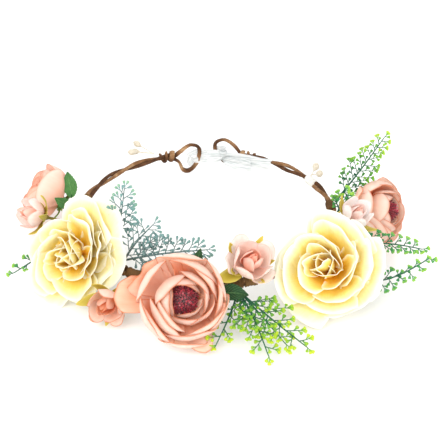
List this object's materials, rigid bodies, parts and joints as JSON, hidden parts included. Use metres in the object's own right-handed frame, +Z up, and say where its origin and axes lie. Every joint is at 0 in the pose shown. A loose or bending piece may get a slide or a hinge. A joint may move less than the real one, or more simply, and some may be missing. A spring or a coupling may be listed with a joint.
{
  "type": "flower crown",
  "caption": "Open ring of twisted paper-wrapped wire carrying fabric blooms, rosebuds and moulded fern sprays, with end loops joined by a ribbon.",
  "frame": {"origin": "centre of the ring, level with the vine's centreline", "axes": "+Z up out of the head opening, -Y towards the front with the largest blooms, +Y towards the open back, +X towards the wearer's left"},
  "size_m": [0.2779, 0.2336, 0.0669],
  "materials": {
    "vine_paper": "crinkled brown floral paper wrapped round wire, matt",
    "vine_wire": "soft annealed steel wire, dull",
    "floral_tape": "stretched waxed crepe tape, matt",
    "organza": "thin translucent white organza, soft sheen",
    "white_pips": "white moulded pips, satin",
    "fern_frosted": "moulded green with a frosted blue-white bloom",
    "fern_bright": "moulded yellow-green fading to dark stems, satin",
    "fern_deep": "moulded deep green, satin",
    "cream_petals": "ivory polyester petals, warm yellow in the folds",
    "peach_petals": "peach polyester petals with darker rims",
    "blush_petals": "pale peach polyester petals",
    "pink_petals": "pale pink polyester petals",
    "white_pink_petals": "white polyester petals, faintly pink",
    "stamens": "crimson flocked stamens",
    "calyx_green": "moulded green calyx, satin",
    "bud_calyx": "moulded golden-olive sepals on a brown taped stem",
    "leaf_fabric": "dark green printed polyester leaf with veins",
    "stem_wire": "wire stem wound with green floral tape, matt"
  },
  "bodies": {
    "root": {"front_vine_paper": "vine_paper", "front_vine_wire": "vine_wire", "front_tape_wraps": "floral_tape"},
    "left_arm": {"left_vine_paper": "vine_paper", "left_vine_wire": "vine_wire", "left_end_loop": "vine_paper", "ribbon_left_band": "organza"},
    "right_arm": {"right_vine_paper": "vine_paper", "right_vine_wire": "vine_wire", "right_end_loop": "vine_paper", "right_tape_wrap": "floral_tape", "ribbon_bow": "organza"},
    "cream_rose_right": {"cream_rose_right_outer_petals": "cream_petals", "cream_rose_right_middle_petals": "cream_petals", "cream_rose_right_heart_petals": "cream_petals", "cream_rose_right_stem": "stem_wire", "cream_rose_right_calyx": "calyx_green"},
    "cream_rose_left": {"cream_rose_left_outer_petals": "cream_petals", "cream_rose_left_middle_petals": "cream_petals", "cream_rose_left_heart_petals": "cream_petals", "cream_rose_left_stem": "stem_wire", "cream_rose_left_calyx": "calyx_green"},
    "ranunculus_front": {"ranunculus_front_outer_petals": "peach_petals", "ranunculus_front_inner_petals": "peach_petals", "ranunculus_front_stamen_cushion": "stamens", "ranunculus_front_stem": "stem_wire", "ranunculus_front_calyx": "calyx_green", "ranunculus_front_leaves": "leaf_fabric"},
    "ranunculus_right": {"ranunculus_right_outer_petals": "peach_petals", "ranunculus_right_inner_petals": "peach_petals", "ranunculus_right_stamen_cushion": "stamens", "ranunculus_right_stem": "stem_wire", "ranunculus_right_calyx": "calyx_green"},
    "peony_left": {"peony_left_outer_petals": "blush_petals", "peony_left_heart_petals": "blush_petals", "peony_left_stem": "stem_wire", "peony_left_calyx": "calyx_green", "peony_left_leaves": "leaf_fabric"},
    "rose_left": {"rose_left_petals": "pink_petals", "rose_left_bud": "pink_petals", "rose_left_calyx_and_stem": "bud_calyx"},
    "rosebud_front_left": {"rosebud_front_left_petals": "peach_petals", "rosebud_front_left_bud": "peach_petals", "rosebud_front_left_calyx_and_stem": "bud_calyx"},
    "rosebud_centre": {"rosebud_centre_petals": "pink_petals", "rosebud_centre_bud": "pink_petals", "rosebud_centre_calyx_and_stem": "bud_calyx"},
    "rosebud_right": {"rosebud_right_petals": "white_pink_petals", "rosebud_right_bud": "white_pink_petals", "rosebud_right_calyx_and_stem": "bud_calyx"},
    "fern_left_upright": {"fern_left_upright": "fern_frosted"},
    "fern_left_level": {"fern_left_level": "fern_frosted"},
    "fern_front": {"fern_front": "fern_bright"},
    "fern_far_left": {"fern_far_left": "fern_deep"},
    "fern_right_low": {"fern_right_low": "fern_deep"},
    "fern_right_inner": {"fern_right_inner": "fern_deep"},
    "fern_right_upright": {"fern_right_upright": "fern_bright"},
    "left_pips": {"left_pips": "white_pips"},
    "right_pips": {"right_pips": "white_pips"},
    "ribbon_tails": {"ribbon_tails": "organza"}
  },
  "joints": [
    {"name": "left_arm_flex", "type": "hinge", "parent": "root", "child": "left_arm", "pos_m": [-0.08269, 0.0301, 0], "axis": [0, 0, 1], "range_deg": [-2, 10]},
    {"name": "right_arm_flex", "type": "hinge", "parent": "root", "child": "right_arm", "pos_m": [0.08415, 0.02573, 0], "axis": [0, 0, -1], "range_deg": [-2, 10]},
    {"name": "cream_rose_right_nod", "type": "hinge", "parent": "root", "child": "cream_rose_right", "pos_m": [0.05895, -0.0728, 0.00053], "axis": [0.7771, 0.6293, 0], "range_deg": [-6, 6]},
    {"name": "cream_rose_left_nod", "type": "hinge", "parent": "root", "child": "cream_rose_left", "pos_m": [-0.0738, -0.05766, 0.00075], "axis": [0.6157, -0.788, 0], "range_deg": [-6, 6]},
    {"name": "ranunculus_front_nod", "type": "hinge", "parent": "root", "child": "ranunculus_front", "pos_m": [-0.01141, -0.09296, -0.00065], "axis": [0.9925, -0.1219, 0], "range_deg": [-6, 6]},
    {"name": "ranunculus_right_nod", "type": "hinge", "parent": "root", "child": "ranunculus_right", "pos_m": [0.09302, -0.00978, -0.00137], "axis": [0.1045, 0.9945, 0], "range_deg": [-8, 8]},
    {"name": "peony_left_nod", "type": "hinge", "parent": "root", "child": "peony_left", "pos_m": [-0.09137, 0.01611, -0.00311], "axis": [-0.1736, -0.9848, 0], "range_deg": [-8, 8]},
    {"name": "rose_left_nod", "type": "hinge", "parent": "root", "child": "rose_left", "pos_m": [-0.09125, -0.0194, 0.00213], "axis": [0.2079, -0.9781, 0], "range_deg": [-8, 8]},
    {"name": "rosebud_front_left_nod", "type": "hinge", "parent": "root", "child": "rosebud_front_left", "pos_m": [-0.04658, -0.08067, -0.00243], "axis": [0.866, -0.5, 0], "range_deg": [-8, 8]},
    {"name": "rosebud_centre_nod", "type": "hinge", "parent": "root", "child": "rosebud_centre", "pos_m": [0.02862, -0.08311, 0.0057], "axis": [0.9455, 0.3256, 0], "range_deg": [-8, 8]},
    {"name": "rosebud_right_nod", "type": "hinge", "parent": "root", "child": "rosebud_right", "pos_m": [0.08387, -0.03734, 0.00424], "axis": [0.4067, 0.9135, 0], "range_deg": [-8, 8]},
    {"name": "fern_left_upright_sway", "type": "hinge", "parent": "root", "child": "fern_left_upright", "pos_m": [-0.05958, -0.06169, 0.00524], "axis": [0.7193, -0.6947, 0], "range_deg": [-8, 8]},
    {"name": "fern_left_level_sway", "type": "hinge", "parent": "root", "child": "fern_left_level", "pos_m": [-0.05103, -0.0665, 0.00388], "axis": [0.7934, -0.6088, 0], "range_deg": [-8, 8]},
    {"name": "fern_front_sway", "type": "hinge", "parent": "root", "child": "fern_front", "pos_m": [0.02102, -0.09107, -0.00163], "axis": [0.9744, 0.225, 0], "range_deg": [-8, 8]},
    {"name": "fern_far_left_sway", "type": "hinge", "parent": "root", "child": "fern_far_left", "pos_m": [-0.08557, -0.0381, -0.00056], "axis": [0.4067, -0.9135, 0], "range_deg": [-8, 8]},
    {"name": "fern_right_low_sway", "type": "hinge", "parent": "root", "child": "fern_right_low", "pos_m": [0.07673, -0.05373, 0.00054], "axis": [0.5736, 0.8192, 0], "range_deg": [-8, 8]},
    {"name": "fern_right_inner_sway", "type": "hinge", "parent": "root", "child": "fern_right_inner", "pos_m": [0.08403, -0.02569, 0.0057], "axis": [0.2924, 0.9563, 0], "range_deg": [-8, 8]},
    {"name": "fern_right_upright_sway", "type": "hinge", "parent": "root", "child": "fern_right_upright", "pos_m": [0.09096, 0.00636, 0.00473], "axis": [-0.0698, 0.9976, 0], "range_deg": [-8, 8]},
    {"name": "left_pips_sway", "type": "hinge", "parent": "left_arm", "child": "left_pips", "pos_m": [-0.04266, 0.07697, 0.0057], "axis": [-0.8746, -0.4848, 0], "range_deg": [-15, 15]},
    {"name": "right_pips_sway", "type": "hinge", "parent": "right_arm", "child": "right_pips", "pos_m": [0.07697, 0.04266, 0.0057], "axis": [-0.4848, 0.8746, 0], "range_deg": [-15, 15]},
    {"name": "ribbon_tails_hang", "type": "hinge", "parent": "right_arm", "child": "ribbon_tails", "pos_m": [0.01201, 0.08375, -0.00335], "axis": [0.2924, 0.9563, 0], "range_deg": [0, 75]}
  ]
}
